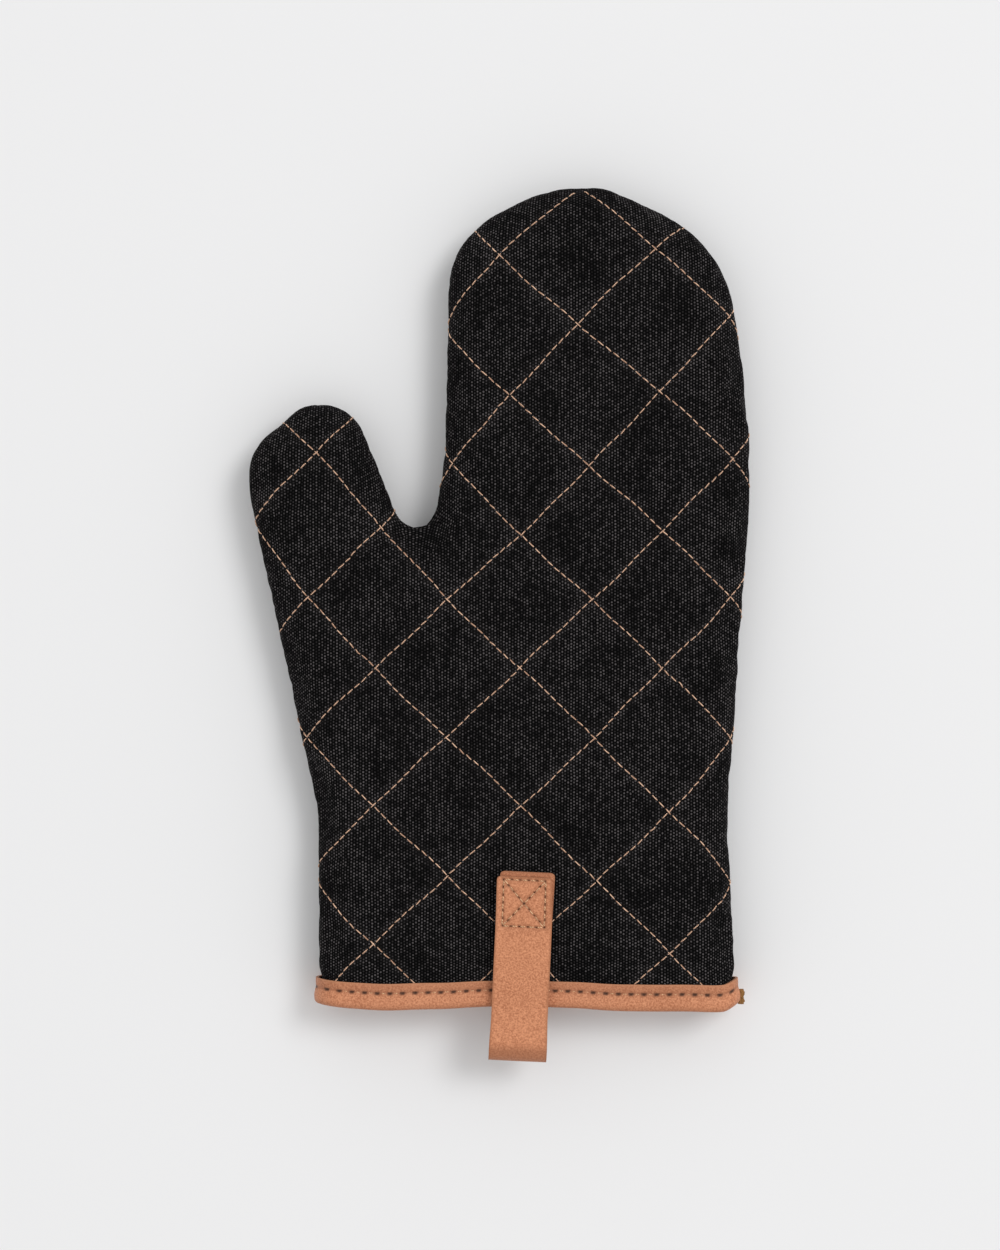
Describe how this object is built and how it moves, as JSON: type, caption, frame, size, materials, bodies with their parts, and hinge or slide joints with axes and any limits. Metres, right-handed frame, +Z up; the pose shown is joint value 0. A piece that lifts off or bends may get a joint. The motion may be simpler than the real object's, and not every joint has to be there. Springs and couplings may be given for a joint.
{
  "type": "oven mitt",
  "caption": "Quilted canvas oven mitt with one thumb, cotton lining, leather-bound cuff and a leather hanging loop stitched to the front near the cuff.",
  "frame": {"origin": "centre of the footprint, on the surface that the mitt lies on", "axes": "+Y from the cuff to the fingertips, +Z up out of the front panel, +X from the thumb to the outer side of the hand"},
  "size_m": [0.195, 0.3402, 0.0272],
  "materials": {
    "canvas": "washed plain weave",
    "batting": "soft",
    "lining": "plain weave",
    "quilting_thread": "waxed thread",
    "seam_thread": "thread",
    "binding_leather": "smooth natural",
    "strap_leather": "smooth natural",
    "leather_thread": "waxed thread"
  },
  "bodies": {
    "hand": {"front_canvas_hand": "canvas", "front_batting_hand": "batting", "front_lining_hand": "lining", "front_quilting_hand": "quilting_thread", "back_canvas_hand": "canvas", "back_batting_hand": "batting", "back_lining_hand": "lining", "back_quilting_hand": "quilting_thread", "side_seam_thread_hand": "seam_thread", "cuff_binding": "binding_leather", "binding_stitching": "leather_thread", "hanging_loop_end": "strap_leather", "loop_box_stitching": "leather_thread"},
    "fingers": {"front_canvas_fingers": "canvas", "front_batting_fingers": "batting", "front_lining_fingers": "lining", "front_quilting_fingers": "quilting_thread", "back_canvas_fingers": "canvas", "back_batting_fingers": "batting", "back_lining_fingers": "lining", "back_quilting_fingers": "quilting_thread", "side_seam_thread_fingers": "seam_thread"},
    "thumb": {"front_canvas_thumb": "canvas", "front_batting_thumb": "batting", "front_lining_thumb": "lining", "front_quilting_thumb": "quilting_thread", "back_canvas_thumb": "canvas", "back_batting_thumb": "batting", "back_lining_thumb": "lining", "back_quilting_thumb": "quilting_thread", "side_seam_thread_thumb": "seam_thread"},
    "loop": {"hanging_loop": "strap_leather"}
  },
  "joints": [
    {"name": "finger_fold", "type": "hinge", "parent": "hand", "child": "fingers", "pos_m": [0.0385, 0.0681, 0.024], "axis": [1, 0, 0], "range_deg": [0, 90]},
    {"name": "thumb_fold", "type": "hinge", "parent": "hand", "child": "thumb", "pos_m": [-0.03625, 0.0549, 0.024], "axis": [0.9336, 0.3584, 0], "range_deg": [0, 75]},
    {"name": "loop_lift", "type": "hinge", "parent": "hand", "child": "loop", "pos_m": [0.00927, -0.12007, 0.0272], "axis": [-0.9989, 0.0471, 0], "range_deg": [0, 150]}
  ]
}
